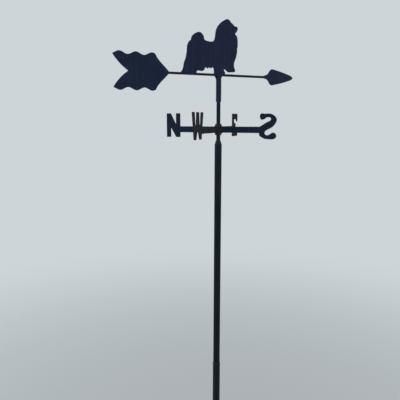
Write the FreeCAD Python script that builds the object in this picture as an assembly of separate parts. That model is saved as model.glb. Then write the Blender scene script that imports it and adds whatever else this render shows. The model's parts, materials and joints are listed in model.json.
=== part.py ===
import FreeCAD, Part

import math
import os

# Garden weathervane on a ground stake, in millimetres.
# The origin is on the vertical axis at the ground line, under the step plate.
# The compass arms point north along -X, east along +Y, south along +X and west along -Y.
# From the ground up: spike and step plate, ground tube, mast tube with a swaged end, spindle rod
# in that end, compass cross on the rod, and the vane whose sleeve turns on the rod.

# Stock that several pieces are made from
mast_d = 20.0
rod_d = 11.0
shaft_d = 6.35
plate_thickness = 3.0
contact_gap = 0.05
rest_gap = 0.1
edge_chamfer = 0.8
overrun = 5.0

# Stake: spike, step plate, ground tube and the pin that the mast stands on
spike_length = 230.0
spike_point_length = 40.0
spike_tip_d = 3.0
spigot_d = 12.0
spigot_stand = 8.0
spike_weld_leg = 3.0
step_length = 150.0
step_width = 30.0
step_thickness = 6.0
step_corner_radius = 8.0
ground_tube_height = 542.0
ground_tube_wall = 0.9
socket_gap = 0.125
tube_weld_leg = 3.8
stop_pin_d = 6.0
stop_pin_proud = 1.2

# Mast tube, its swaged end and the spindle rod
bar_height = 1250.0
mast_wall = 1.2
mast_insert = 150.0
cone_drop = 29.0
cone_length = 11.8
mouth_wall = 0.5
mouth_land = 3.0
rod_tail_length = 40.0
rod_weld_rise = 1.0

# Compass cross: hub collar, arms and set screw
hub_gap = 0.1
hub_wall = 3.4
hub_height = 30.8
bar_width = 16.9
letter_rise = 45.0
letter_height = 67.4
letter_reach = 116.5
stroke_width = 13.2
letter_corner_radius = 1.0
north_width = 43.0
east_reach = 120.0
east_width = 46.0
east_arm_width = 17.0
east_serif_drop = 6.0
east_serif_width = 5.5
east_serif_slope = 4.0
west_top_width = 67.0
west_foot_width = 45.0
west_leg_top = 13.3
west_leg_foot = 11.2
west_apex_top = 13.0
west_apex_foot = 5.2
south_width = 46.5
arm_weld_leg = 2.2
arm_weld_rise = 4.5
screw_d = 5.0
screw_length = 7.0
screw_drop = 11.2
screw_heading_degrees = -45.0
screw_socket_d = 2.8
screw_socket_depth = 2.5

# Vane: sleeve with its plug and ball, shaft, and the three plates
vane_heading_degrees = 46.5
shaft_rise = 145.5
sleeve_gap = 0.4375
sleeve_wall = 1.35
sleeve_length = 67.75
sleeve_chamfer = 1.1
plug_thickness = 6.0
ball_d = 10.0
tail_tip_reach = 288.5
tail_root_reach = 145.0
tail_corner_reach = 180.0
tail_notch_reach = 250.5
tail_half_height = 43.0
tail_wave_height = 3.6
tail_wave_pitch = 41.5
tail_wave_crest = 188.5
tail_lap = 55.0
head_tip_reach = 236.0
head_neck_reach = 137.5
head_half_height = 22.0
head_lap = 39.0
dog_toe_reach = 112.2
dog_length = 166.0
dog_height = 146.5
plate_weld_leg = 4.0
plate_weld_inset = 4.0
tail_bead_inset = 8.0
head_bead_inset = 16.0
sleeve_weld_width = 4.4
tail_side_weld_run = 7.0
tail_side_weld_drop = 10.0
head_side_weld_run = 4.5
head_side_weld_drop = 5.0

# Sizes that follow from those above
mast_r = mast_d / 2
rod_r = rod_d / 2
shaft_r = shaft_d / 2
ball_r = ball_d / 2
ground_bore_r = mast_r + socket_gap
ground_tube_r = ground_bore_r + ground_tube_wall
stop_pin_r = stop_pin_d / 2
mast_bottom = ground_tube_height - mast_insert
mouth_bore_r = rod_r + contact_gap
mouth_r = mouth_bore_r + mouth_wall
cone_top = bar_height - cone_drop
cone_bottom = cone_top - cone_length
hub_bore_r = rod_r + hub_gap
hub_r = hub_bore_r + hub_wall
hub_bottom = bar_height - hub_height / 2
half_bar = bar_width / 2
letter_bottom = letter_rise - letter_height
shaft_z = bar_height + shaft_rise
sleeve_bore_r = rod_r + sleeve_gap
sleeve_r = sleeve_bore_r + sleeve_wall
sleeve_top = shaft_z - shaft_r - contact_gap
sleeve_bottom = sleeve_top - sleeve_length
plug_bottom = sleeve_top - plug_thickness
ball_z = plug_bottom - rest_gap - ball_r
rod_top = ball_z - ball_r - rest_gap
rod_bottom = cone_bottom - rod_tail_length
plate_back = -shaft_r - contact_gap
foot_z = -shaft_r

# Where the dog's hind and front feet lap the shaft: shares of its length
hind_toe_share = 0.0
hind_heel_share = 0.27
front_heel_share = 0.573
front_toe_share = 0.762

# Outline of the dog, from the rear toe: shares of its length and of its height above the shaft's
# underside. Each run is one smooth curve, or a straight line where it has two points.
dog_outline_shares = (
    ((hind_toe_share, 0), (0.000, 0.042)),
    ((0.000, 0.042), (0.016, 0.060), (0.037, 0.103), (0.048, 0.152), (0.058, 0.209), (0.079, 0.266),
     (0.096, 0.343), (0.107, 0.420), (0.111, 0.489), (0.122, 0.530), (0.140, 0.564), (0.177, 0.598)),
    ((0.177, 0.598), (0.182, 0.631), (0.195, 0.663), (0.222, 0.694), (0.264, 0.724), (0.307, 0.739),
     (0.343, 0.731), (0.373, 0.704), (0.393, 0.670), (0.398, 0.640), (0.406, 0.617), (0.428, 0.604)),
    ((0.428, 0.604), (0.465, 0.596), (0.515, 0.591), (0.550, 0.598), (0.576, 0.622)),
    ((0.576, 0.622), (0.590, 0.679), (0.597, 0.743), (0.611, 0.807), (0.632, 0.857), (0.661, 0.898),
     (0.697, 0.937), (0.740, 0.969), (0.769, 0.989), (0.798, 1.000), (0.828, 0.995), (0.854, 0.976),
     (0.869, 0.949)),
    ((0.869, 0.949), (0.903, 0.925), (0.926, 0.902), (0.941, 0.886)),
    ((0.941, 0.886), (0.963, 0.889), (0.984, 0.879), (0.996, 0.855), (0.991, 0.827), (0.976, 0.797),
     (0.950, 0.766)),
    ((0.950, 0.766), (0.960, 0.742), (0.981, 0.719), (0.993, 0.684), (0.999, 0.619), (1.000, 0.540)),
    ((1.000, 0.540), (0.991, 0.508), (0.990, 0.438), (0.983, 0.394), (0.972, 0.343), (0.950, 0.283),
     (0.937, 0.231), (0.938, 0.184), (0.948, 0.144), (0.959, 0.116)),
    ((0.959, 0.116), (0.958, 0.093), (0.942, 0.083), (0.877, 0.077), (0.831, 0.075), (0.809, 0.090),
     (0.782, 0.114), (0.757, 0.128)),
    ((0.757, 0.128), (0.754, 0.112), (0.760, 0.090), (0.776, 0.064), (0.774, 0.042), (front_toe_share, 0)),
    ((front_toe_share, 0), (front_heel_share, 0)),
    ((front_heel_share, 0), (0.574, 0.040), (0.575, 0.092), (0.564, 0.136), (0.548, 0.158)),
    ((0.548, 0.158), (0.533, 0.126)),
    ((0.533, 0.126), (0.520, 0.149)),
    ((0.520, 0.149), (0.507, 0.125)),
    ((0.507, 0.125), (0.487, 0.149)),
    ((0.487, 0.149), (0.464, 0.120)),
    ((0.464, 0.120), (0.440, 0.143)),
    ((0.440, 0.143), (0.428, 0.131)),
    ((0.428, 0.131), (0.405, 0.150)),
    ((0.405, 0.150), (0.408, 0.106), (0.394, 0.087), (0.334, 0.077), (0.281, 0.074), (0.270, 0.058)),
    ((0.270, 0.058), (hind_heel_share, 0)),
    ((hind_heel_share, 0), (hind_toe_share, 0)),
)

# Outline of the south letter, from the bar's upper corner round to its lower corner: shares of its
# width and height. The letter is reversed, as on the object.
south_outline_shares = (
    (0.228, 0.575), (0.439, 0.662), (0.611, 0.721), (0.668, 0.782), (0.630, 0.830), (0.492, 0.851),
    (0.380, 0.827), (0.308, 0.787), (0.222, 0.764), (0.130, 0.752), (0.050, 0.800), (0.017, 0.880),
    (0.047, 0.965), (0.135, 1.000), (0.275, 0.988), (0.475, 0.994), (0.673, 0.980), (0.850, 0.915),
    (0.970, 0.820), (0.994, 0.721), (0.938, 0.629), (0.770, 0.482), (0.514, 0.384), (0.380, 0.325),
    (0.308, 0.240), (0.340, 0.193), (0.430, 0.155), (0.561, 0.172), (0.684, 0.230), (0.820, 0.262),
    (0.944, 0.219), (0.990, 0.142), (0.955, 0.055), (0.860, 0.010), (0.505, 0.000), (0.314, 0.014),
    (0.159, 0.064), (0.030, 0.125),
)
south_drop_share = 0.026

# Other shares of the letters, the tail's notch and the head
north_upper_notch_share = 0.526
north_lower_notch_share = 0.42
east_middle_arm_share = 0.62
west_notch_depth_share = 0.5
west_notch_side_share = 0.44
west_notch_foot_share = 0.3
west_slit_height_share = 0.35
tail_notch_side_shares = ((0.26, 0.19), (0.46, 0.355), (0.66, 0.56), (0.86, 0.79))
tail_front_shares = ((0.87, 0.81), (0.63, 0.58), (0.34, 0.35))
head_neck_shares = ((0.064, 0.225), (0.141, 0.376), (0.182, 0.62), (0.211, 0.8), (0.237, 0.92))
head_edge_shares = ((0.306, 1.0), (0.45, 0.873), (0.659, 0.65), (0.871, 0.376), (0.965, 0.2))
bead_root_share = 0.38
bead_curve_share = 0.36


def point(x, z):
    """Point of an outline, in the upright plane through the axis."""
    return FreeCAD.Vector(x, 0, z)


def move(shape, x=0, y=0, z=0):
    """Copy of a shape, moved."""
    moved = shape.copy()
    moved.translate(FreeCAD.Vector(x, y, z))
    return moved


def turn(shape, degrees):
    """Copy of a shape, turned about the mast's axis."""
    turned = shape.copy()
    turned.rotate(FreeCAD.Vector(), FreeCAD.Vector(0, 0, 1), degrees)
    return turned


def round_bar(radius, low, high):
    """Upright solid cylinder on the axis, between two heights."""
    return Part.makeCylinder(radius, high - low, FreeCAD.Vector(0, 0, low))


def lying_bar(radius, start, end, height):
    """Solid cylinder along X, between two places and at a height."""
    return Part.makeCylinder(radius, end - start, FreeCAD.Vector(start, 0, height), FreeCAD.Vector(1, 0, 0))


def revolved(profile):
    """Solid of revolution about the axis from (radius, height) points."""
    corners = [point(radius, height) for radius, height in profile]
    face = Part.Face(Part.makePolygon(corners + corners[:1]))
    return face.revolve(FreeCAD.Vector(), FreeCAD.Vector(0, 0, 1), 360)


def prism(wire, back, thickness):
    """Plate or bead with an upright outline. Its back is at the given Y, and it lies toward -Y."""
    flat = Part.Face(wire).extrude(FreeCAD.Vector(0, -thickness, 0))
    return move(flat, y=back)


def smooth(points):
    """Edge through points: a straight line through two, one smooth curve through more."""
    if len(points) == 2:
        return Part.makeLine(points[0], points[1])
    curve = Part.BSplineCurve()
    curve.interpolate(points)
    return curve.toShape()


def rounded(corners, radius):
    """Closed wire through (x, z) points, with an arc of the radius at each corner."""
    points = [point(x, z) for x, z in corners]
    arcs = []
    for index, corner in enumerate(points):
        before = (points[index - 1] - corner).normalize()
        after = (points[(index + 1) % len(points)] - corner).normalize()
        half_angle = before.getAngle(after) / 2
        setback = radius / math.tan(half_angle)
        inward = (before + after).normalize()
        middle = corner + inward * (radius / math.sin(half_angle) - radius)
        arcs.append((corner + before * setback, middle, corner + after * setback))
    edges = []
    for index, (start, middle, end) in enumerate(arcs):
        edges.append(Part.makeLine(arcs[index - 1][2], start))
        edges.append(Part.Arc(start, middle, end).toShape())
    return Part.Wire(edges)


# Stake

def ground_spike():
    """Pointed spike, shouldered under the step plate, with a spigot through it."""
    profile = (
        (0, -spike_length),
        (spike_tip_d / 2, -spike_length),
        (mast_r, spike_point_length - spike_length),
        (mast_r, 0),
        (spigot_d / 2, 0),
        (spigot_d / 2, step_thickness + spigot_stand),
        (0, step_thickness + spigot_stand),
    )
    return revolved(profile)


def foot_step():
    """Flat plate that a foot presses on, with a hole for the spike's spigot."""
    plate = Part.makeBox(step_length, step_width, step_thickness,
                         FreeCAD.Vector(-step_length / 2, -step_width / 2, 0))
    upright = [edge for edge in plate.Edges if edge.BoundBox.ZLength > step_thickness / 2]
    plate = plate.makeFillet(step_corner_radius, upright)
    return plate.cut(round_bar(spigot_d / 2 + contact_gap, -overrun, step_thickness + overrun))


def ring_bead(inner, low, leg, rise):
    """Ring of weld round a cylinder, three-sided, standing on a flat face."""
    return revolved(((inner, low), (inner + leg, low), (inner, low + rise)))


def spike_weld():
    """Weld of the spigot to the step plate, inside the ground tube."""
    return ring_bead(spigot_d / 2 + contact_gap, step_thickness, spike_weld_leg, spike_weld_leg)


def tube_weld():
    """Weld of the ground tube to the step plate."""
    return ring_bead(ground_tube_r + contact_gap, step_thickness, tube_weld_leg, tube_weld_leg)


def stop_pin_z():
    """Height of the stop pin, just under the mast's lower end."""
    return mast_bottom - rest_gap - stop_pin_r


def ground_tube():
    """Tube that stands on the step plate and holds the mast."""
    tube = round_bar(ground_tube_r, step_thickness, ground_tube_height)
    tube = tube.cut(round_bar(ground_bore_r, 0, ground_tube_height + overrun))
    reach = ground_tube_r + overrun
    return tube.cut(lying_bar(stop_pin_r + contact_gap, -reach, reach, stop_pin_z()))


def mast_stop_pin():
    """Pin across the ground tube, under the mast's end."""
    reach = ground_tube_r + stop_pin_proud
    pin = lying_bar(stop_pin_r, -reach, reach, stop_pin_z())
    rims = [edge for edge in pin.Edges if edge.BoundBox.XLength < stop_pin_r]
    return pin.makeChamfer(edge_chamfer, rims)


# Mast

def mast_tube():
    """Mast tube, swaged at its top to a cone whose mouth closes on the rod."""
    bore_r = mast_r - mast_wall
    profile = (
        (bore_r, mast_bottom),
        (mast_r, mast_bottom),
        (mast_r, cone_bottom),
        (mouth_r, cone_top),
        (mouth_bore_r, cone_top),
        (mouth_bore_r, cone_top - mouth_land),
        (bore_r, cone_bottom),
    )
    return revolved(profile)


def spindle_rod():
    """Rod in the mast's end, which carries the compass cross and, on its upper end, the ball."""
    rod = round_bar(rod_r, rod_bottom, rod_top)
    rims = [edge for edge in rod.Edges if edge.BoundBox.ZLength < rod_r]
    return rod.makeChamfer(edge_chamfer, rims)


def rod_weld():
    """Weld of the rod to the mast's mouth."""
    return ring_bead(rod_r + contact_gap, cone_top, mouth_wall, rod_weld_rise)


# Compass cross

def arm_plate(wire):
    """Flat bar and letter in one plate, pointing along +X, its inner end seated on the hub."""
    plate = prism(wire, plate_thickness / 2, plate_thickness)
    plate = move(plate, z=bar_height)
    return plate.cut(round_bar(hub_r, hub_bottom, hub_bottom + hub_height))


def north_arm():
    """North arm, along -X."""
    outer = letter_reach + north_width
    inner_stroke = letter_reach + stroke_width
    outer_stroke = outer - stroke_width
    corners = (
        (0, -half_bar),
        (letter_reach, -half_bar),
        (letter_reach, letter_bottom),
        (inner_stroke, letter_bottom),
        (outer_stroke, letter_bottom + letter_height * north_lower_notch_share),
        (outer_stroke, letter_bottom),
        (outer, letter_bottom),
        (outer, letter_rise),
        (outer_stroke, letter_rise),
        (inner_stroke, letter_bottom + letter_height * north_upper_notch_share),
        (inner_stroke, letter_rise),
        (letter_reach, letter_rise),
        (letter_reach, half_bar),
        (0, half_bar),
    )
    return turn(arm_plate(rounded(corners, letter_corner_radius)), 180)


def east_arm():
    """East arm, along +Y. The upper and lower strokes end in serifs, and the middle one is short."""
    outer = east_reach + east_width
    stroke = east_reach + stroke_width
    serif = outer - east_serif_width
    slope = serif - east_serif_slope
    top_under = letter_rise - east_arm_width
    low_over = letter_bottom + east_arm_width
    middle = east_reach + east_width * east_middle_arm_share
    gap = (top_under - low_over) / 3
    corners = (
        (0, -half_bar),
        (east_reach, -half_bar),
        (east_reach, letter_bottom),
        (outer, letter_bottom),
        (outer, low_over + east_serif_drop),
        (serif, low_over + east_serif_drop),
        (slope, low_over),
        (stroke, low_over),
        (stroke, low_over + gap),
        (middle, low_over + gap),
        (middle, top_under - gap),
        (stroke, top_under - gap),
        (stroke, top_under),
        (slope, top_under),
        (serif, top_under - east_serif_drop),
        (outer, top_under - east_serif_drop),
        (outer, letter_rise),
        (east_reach, letter_rise),
        (east_reach, half_bar),
        (0, half_bar),
    )
    return turn(arm_plate(rounded(corners, letter_corner_radius)), 90)


def west_arm():
    """West arm, along -Y. Its legs lean outward, so the bar meets a sloping edge."""
    foot_start = letter_reach + (west_top_width - west_foot_width) / 4
    centre = foot_start + west_foot_width / 2
    foot_half = west_foot_width / 2
    top_half = west_top_width / 2
    apex_half = west_apex_top / 2
    slit_half = foot_half - west_leg_foot
    notch_top_in = top_half - west_leg_top
    notch_foot = apex_half + (notch_top_in - apex_half) / 2
    notch_z = letter_rise - letter_height * west_notch_depth_share
    side_z = letter_rise - letter_height * west_notch_side_share
    notch_in = notch_foot - (notch_top_in - apex_half) * west_notch_foot_share
    notch_out = notch_foot + (notch_top_in - apex_half) * west_notch_foot_share
    slit_z = letter_bottom + letter_height * west_slit_height_share

    def edge_at(height):
        """Half width of the letter at a height, along its leaning outer edge."""
        share = (height - letter_bottom) / letter_height
        return foot_half + (top_half - foot_half) * share

    outer_side = (
        (centre + west_apex_foot / 2, slit_z),
        (centre + slit_half, letter_bottom),
        (centre + foot_half, letter_bottom),
        (centre + top_half, letter_rise),
        (centre + notch_top_in, letter_rise),
        (centre + notch_out, side_z),
        (centre + notch_foot, notch_z),
        (centre + notch_in, side_z),
        (centre + apex_half, letter_rise),
        (centre - apex_half, letter_rise),
        (centre - notch_in, side_z),
        (centre - notch_foot, notch_z),
        (centre - notch_out, side_z),
        (centre - notch_top_in, letter_rise),
        (centre - top_half, letter_rise),
    )
    corners = (
        (centre - edge_at(half_bar), half_bar),
        (0, half_bar),
        (0, -half_bar),
        (centre - edge_at(-half_bar), -half_bar),
        (centre - foot_half, letter_bottom),
        (centre - slit_half, letter_bottom),
        (centre - west_apex_foot / 2, slit_z),
    ) + outer_side
    return turn(arm_plate(rounded(corners, letter_corner_radius)), -90)


def south_arm():
    """South arm, along +X, with its reversed letter."""
    bottom = letter_bottom - letter_height * south_drop_share
    points = [point(letter_reach, half_bar)]
    for across, up in south_outline_shares:
        points.append(point(letter_reach + south_width * across, bottom + letter_height * up))
    points.append(point(letter_reach, -half_bar))
    bar = [points[-1], point(0, -half_bar), point(0, half_bar), points[0]]
    edges = [smooth(points)]
    for start, end in zip(bar, bar[1:]):
        edges.append(Part.makeLine(start, end))
    return arm_plate(Part.Wire(edges))


def arm_weld():
    """Weld round one arm's inner end, a collar that slopes from the hub to the arm."""
    far = hub_r + arm_weld_rise
    hub_top = hub_bottom + hub_height
    rings = []
    for reach, leg, rise in ((0, arm_weld_leg, arm_weld_rise), (far, contact_gap, contact_gap)):
        half_y = plate_thickness / 2 + leg
        half_z = half_bar + rise
        ring = [FreeCAD.Vector(reach, y, bar_height + z)
                for y, z in ((-half_y, -half_z), (half_y, -half_z), (half_y, half_z), (-half_y, half_z))]
        rings.append(Part.makePolygon(ring + ring[:1]))
    collar = Part.makeLoft(rings, True, True)
    collar = collar.cut(round_bar(hub_r + contact_gap, hub_bottom - overrun, hub_top + overrun))
    arm = Part.makeBox(far + overrun, plate_thickness, bar_width,
                       FreeCAD.Vector(0, -plate_thickness / 2, bar_height - half_bar))
    return collar.cut(arm)


def arm_welds():
    """Welds of the four arms to the hub, separate solids."""
    return Part.makeCompound([turn(arm_weld(), quarter * 90) for quarter in range(4)])


def screw_z():
    """Height of the set screw."""
    return bar_height - screw_drop


def hub_collar():
    """Collar round the rod, with a hole for the set screw between the south and west arms."""
    collar = round_bar(hub_r, hub_bottom, hub_bottom + hub_height)
    rims = [edge for edge in collar.Edges if edge.BoundBox.ZLength < edge_chamfer]
    collar = collar.makeChamfer(edge_chamfer, rims)
    collar = collar.cut(round_bar(hub_bore_r, hub_bottom - overrun, hub_bottom + hub_height + overrun))
    hole = lying_bar(screw_d / 2 + contact_gap, 0, hub_r + overrun, screw_z())
    return collar.cut(turn(hole, screw_heading_degrees))


def set_screw():
    """Socket set screw that clamps the collar to the rod."""
    start = rod_r + rest_gap
    end = start + screw_length
    screw = lying_bar(screw_d / 2, start, end, screw_z())
    rims = [edge for edge in screw.Edges if edge.BoundBox.XLength < edge_chamfer]
    screw = screw.makeChamfer(edge_chamfer, rims)
    corners = []
    for corner in range(6):
        angle = math.radians(60 * corner)
        across = screw_socket_d / 2 * math.cos(angle)
        up = screw_z() + screw_socket_d / 2 * math.sin(angle)
        corners.append(FreeCAD.Vector(end - screw_socket_depth, across, up))
    hexagon = Part.Face(Part.makePolygon(corners + corners[:1]))
    socket = hexagon.extrude(FreeCAD.Vector(screw_socket_depth + overrun, 0, 0))
    return turn(screw.cut(socket), screw_heading_degrees)


# Vane, made with the arrow along +X and turned to its heading at the end

def bearing_ball():
    """Ball between the rod's end and the sleeve's plug."""
    return Part.makeSphere(ball_r, FreeCAD.Vector(0, 0, ball_z))


def pivot_sleeve():
    """Tube that hangs from the shaft and turns on the rod."""
    sleeve = round_bar(sleeve_r, sleeve_bottom, sleeve_top)
    rims = [edge for edge in sleeve.Edges if edge.BoundBox.ZMax < sleeve_bottom + sleeve_chamfer]
    sleeve = sleeve.makeChamfer(sleeve_chamfer, rims)
    return sleeve.cut(round_bar(sleeve_bore_r, sleeve_bottom - overrun, sleeve_top + overrun))


def sleeve_plug():
    """Plug that closes the sleeve's top and bears on the ball."""
    return round_bar(sleeve_bore_r - contact_gap, plug_bottom, sleeve_top)


def shaft_bar(radius):
    """Round bar on the shaft's line, from its tail end to its head end."""
    return lying_bar(radius, -tail_root_reach - tail_lap, head_neck_reach + head_lap, shaft_z)


def arrow_shaft():
    """Thin round rod that carries the plates on its front side."""
    shaft = shaft_bar(shaft_r)
    rims = [edge for edge in shaft.Edges if edge.BoundBox.XLength < edge_chamfer]
    return shaft.makeChamfer(edge_chamfer, rims)


def vane_plate(edges):
    """Plate of the vane with its back just clear of the shaft's front."""
    return move(prism(Part.Wire(edges), plate_back, plate_thickness), z=shaft_z)


def mirrored(points):
    """Points below the shaft's line, in the opposite order."""
    return [point(each.x, -each.z) for each in reversed(points)]


def tail_plate():
    """Fletching plate: waved long edges, a V notch behind and a hollow taper to the shaft in front."""
    corner = -tail_corner_reach
    span = tail_tip_reach - tail_corner_reach
    steps = 22
    wave = []
    for step in range(steps + 1):
        reach = tail_tip_reach - span * step / steps
        phase = 2 * math.pi * (reach - tail_wave_crest) / tail_wave_pitch
        wave.append(point(-reach, tail_half_height + tail_wave_height * math.cos(phase)))
    tip = wave[0]
    notch = [point(-tail_notch_reach, 0)]
    for back_share, up_share in tail_notch_side_shares:
        back = -tail_notch_reach - (tail_tip_reach - tail_notch_reach) * back_share
        notch.append(point(back, tip.z * up_share))
    notch.append(tip)
    root = point(-tail_root_reach, shaft_r)
    taper = [wave[-1]]
    for back_share, up_share in tail_front_shares:
        back = -tail_root_reach - (tail_corner_reach - tail_root_reach) * back_share
        taper.append(point(back, wave[-1].z * up_share))
    taper.append(root)
    upper = [smooth(notch), smooth(wave), smooth(taper)]
    lower = [smooth(mirrored(taper)), smooth(mirrored(wave)), smooth(mirrored(notch))]
    return vane_plate(upper + [smooth([root, point(root.x, -root.z)])] + lower)


def arrow_head():
    """Barbed head plate with a curved neck and a rounded tip."""
    span = head_tip_reach - head_neck_reach

    def at(along_share, up_share):
        """Point of the head's upper half from shares of its length and half height."""
        return point(head_neck_reach + span * along_share, head_half_height * up_share)

    root = point(head_neck_reach, shaft_r)
    barb = at(*head_edge_shares[0])
    neck = [root] + [at(*shares) for shares in head_neck_shares] + [barb]
    edge = [at(*shares) for shares in head_edge_shares]
    outer = edge + [at(1, 0)] + mirrored(edge)
    edges = [smooth(neck), smooth(outer), smooth(mirrored(neck)), smooth([point(root.x, -root.z), root])]
    return vane_plate(edges)


def dog_plate():
    """Silhouette of a long-haired small dog. Its standing feet lap the shaft."""
    edges = []
    for run in dog_outline_shares:
        points = [point(dog_length * along - dog_toe_reach, foot_z + dog_height * up) for along, up in run]
        edges.append(smooth(points))
    return vane_plate(edges)


def lap_bead(start, end, side):
    """Weld along the shaft's back upper or lower side, in the corner with a plate."""
    root = shaft_r * bead_root_share
    corners = ((plate_back, root), (plate_back, shaft_r + plate_weld_leg), (0, shaft_r))
    points = [FreeCAD.Vector(start, y, shaft_z + side * z) for y, z in corners]
    face = Part.Face(Part.makePolygon(points + points[:1]))
    bead = face.extrude(FreeCAD.Vector(end - start, 0, 0))
    return bead.cut(shaft_bar(shaft_r + contact_gap))


def dog_welds():
    """Welds behind the dog's hind and front feet, separate solids."""
    beads = []
    for back_share, front_share in ((hind_toe_share, hind_heel_share), (front_heel_share, front_toe_share)):
        start = dog_length * back_share - dog_toe_reach + plate_weld_inset
        end = dog_length * front_share - dog_toe_reach - plate_weld_inset
        beads.append(lap_bead(start, end, 1))
    return Part.makeCompound(beads)


def tail_welds():
    """Welds behind the tail plate, above and below the shaft, separate solids."""
    start = -tail_root_reach - tail_lap + plate_weld_inset
    end = -tail_root_reach - tail_bead_inset
    return Part.makeCompound([lap_bead(start, end, side) for side in (1, -1)])


def head_welds():
    """Welds behind the head plate, above and below the shaft, separate solids."""
    start = head_neck_reach + head_bead_inset
    end = head_neck_reach + head_lap - plate_weld_inset
    return Part.makeCompound([lap_bead(start, end, side) for side in (1, -1)])


def sleeve_bead(side, run, drop):
    """Curved weld in the corner under the shaft, on one side of the sleeve."""
    edge_x = side * sleeve_r
    far = point(edge_x + side * run, -shaft_r)
    low = point(edge_x, -shaft_r - drop)
    middle = point(edge_x + side * run * bead_curve_share, -shaft_r - drop * bead_curve_share)
    corner = point(0, 0)
    edges = [
        Part.Arc(far, middle, low).toShape(),
        Part.makeLine(low, point(0, low.z)),
        Part.makeLine(point(0, low.z), corner),
        Part.makeLine(corner, point(far.x, 0)),
        Part.makeLine(point(far.x, 0), far),
    ]
    bead = move(prism(Part.Wire(edges), sleeve_weld_width / 2, sleeve_weld_width), z=shaft_z)
    bead = bead.cut(round_bar(sleeve_r + contact_gap, sleeve_bottom, shaft_z + shaft_d))
    return bead.cut(shaft_bar(shaft_r + contact_gap))


def sleeve_weld():
    """Welds of the sleeve to the shaft, the larger one on the tail's side."""
    tail_side = sleeve_bead(-1, tail_side_weld_run, tail_side_weld_drop)
    head_side = sleeve_bead(1, head_side_weld_run, head_side_weld_drop)
    return Part.makeCompound([tail_side, head_side])


fixed_pieces = (
    ground_spike, foot_step, spike_weld, tube_weld, ground_tube, mast_stop_pin,
    mast_tube, spindle_rod, rod_weld,
    hub_collar, north_arm, east_arm, south_arm, west_arm, arm_welds, set_screw,
    bearing_ball,
)
vane_pieces = (
    pivot_sleeve, sleeve_plug, sleeve_weld, arrow_shaft, arrow_head, head_welds,
    tail_plate, tail_welds, dog_plate, dog_welds,
)

os.makedirs("parts", exist_ok=True)
for piece in fixed_pieces:
    piece().exportStep("parts/" + piece.__name__ + ".step")
for piece in vane_pieces:
    turn(piece(), vane_heading_degrees).exportStep("parts/" + piece.__name__ + ".step")
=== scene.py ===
"""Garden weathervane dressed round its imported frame: plates, tubes, bars, welds, screw and stage."""

import json

import bmesh
import bpy
import numpy as np
from bpy.props import FloatProperty, FloatVectorProperty, IntProperty, PointerProperty
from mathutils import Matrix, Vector


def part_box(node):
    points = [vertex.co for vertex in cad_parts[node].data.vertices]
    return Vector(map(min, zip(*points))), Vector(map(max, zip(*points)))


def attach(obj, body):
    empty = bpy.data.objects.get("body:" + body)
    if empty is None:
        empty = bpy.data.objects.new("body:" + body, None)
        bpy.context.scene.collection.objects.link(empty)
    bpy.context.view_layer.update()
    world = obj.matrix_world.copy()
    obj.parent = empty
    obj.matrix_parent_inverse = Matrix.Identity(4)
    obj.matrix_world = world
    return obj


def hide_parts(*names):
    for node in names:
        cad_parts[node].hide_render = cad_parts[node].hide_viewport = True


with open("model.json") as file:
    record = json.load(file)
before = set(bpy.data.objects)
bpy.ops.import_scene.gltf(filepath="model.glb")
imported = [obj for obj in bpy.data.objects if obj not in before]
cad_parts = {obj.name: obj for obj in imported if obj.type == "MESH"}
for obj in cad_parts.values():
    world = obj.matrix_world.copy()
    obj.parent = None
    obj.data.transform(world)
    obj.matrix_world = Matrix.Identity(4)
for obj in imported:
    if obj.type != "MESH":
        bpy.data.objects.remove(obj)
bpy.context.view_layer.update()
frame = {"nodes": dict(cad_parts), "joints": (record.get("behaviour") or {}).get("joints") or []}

bl_info = {
    "name": "Garden Weathervane",
    "version": (1, 0, 0),
    "blender": (4, 5, 0),
    "location": "3D View > Sidebar > Weathervane",
    "description": "Dresses a garden weathervane's frame with painted plates, tubes, bars and welds",
    "category": "Object",
}

MM = 0.001
GRAIN = MM / 1000        # corners this near to each other are one
NOTHING = 1e-18          # keeps a division from zero
SAME_WAY = 0.999         # least cosine between directions that count as the same
SUNK_SHARE = 0.12        # how deep a bead's back lies in the metal, as a share of its legs
UP = np.array([0.0, 0.0, 1.0])
ARMS = ("north_arm", "east_arm", "south_arm", "west_arm")


# Sizes and colours that a user would change

def size(name, millimetres, description):
    """Length property whose default is given in millimetres."""
    return FloatProperty(name=name, description=description, default=millimetres * MM, min=0,
                         unit="LENGTH", subtype="DISTANCE", precision=5)


def share(name, default, description):
    """Share between nothing and all."""
    return FloatProperty(name=name, description=description, default=default, min=0, max=1,
                         subtype="FACTOR")


def colour(name, red, green, blue):
    """Colour property."""
    return FloatVectorProperty(name=name, description="Colour of " + name.lower(), subtype="COLOR",
                               default=(red, green, blue), min=0, max=1)


class EdgeSizes(bpy.types.PropertyGroup):
    """Edges of the cut plates and lips of the round stock."""

    paint_radius: size("Paint radius", 0.55, "Radius of the paint over a plate's edge")
    cut_softness: size("Cut softness", 0.6, "How far a corner of the cut outline is rounded off")
    outline_step: size("Outline step", 0.5, "Distance between points of a plate's outline")
    ridge_height: size("Ridge height", 0.14, "Height of the cutter's ridges on a plate's edge")
    ridge_spacing: size("Ridge spacing", 1.9, "Distance between the cutter's ridges")
    bevel: size("Bevel", 0.8, "Bevel at the ends of the bars and of the hub")
    lip_radius: size("Lip radius", 0.35, "Radius at the lips and rims of tubes and bars")
    swage_radius: size("Swage radius", 9.0, "Radius where the mast's cone starts")
    round_sides: IntProperty(name="Round sides", description="Sides of a tube or bar", default=96, min=24)


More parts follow.
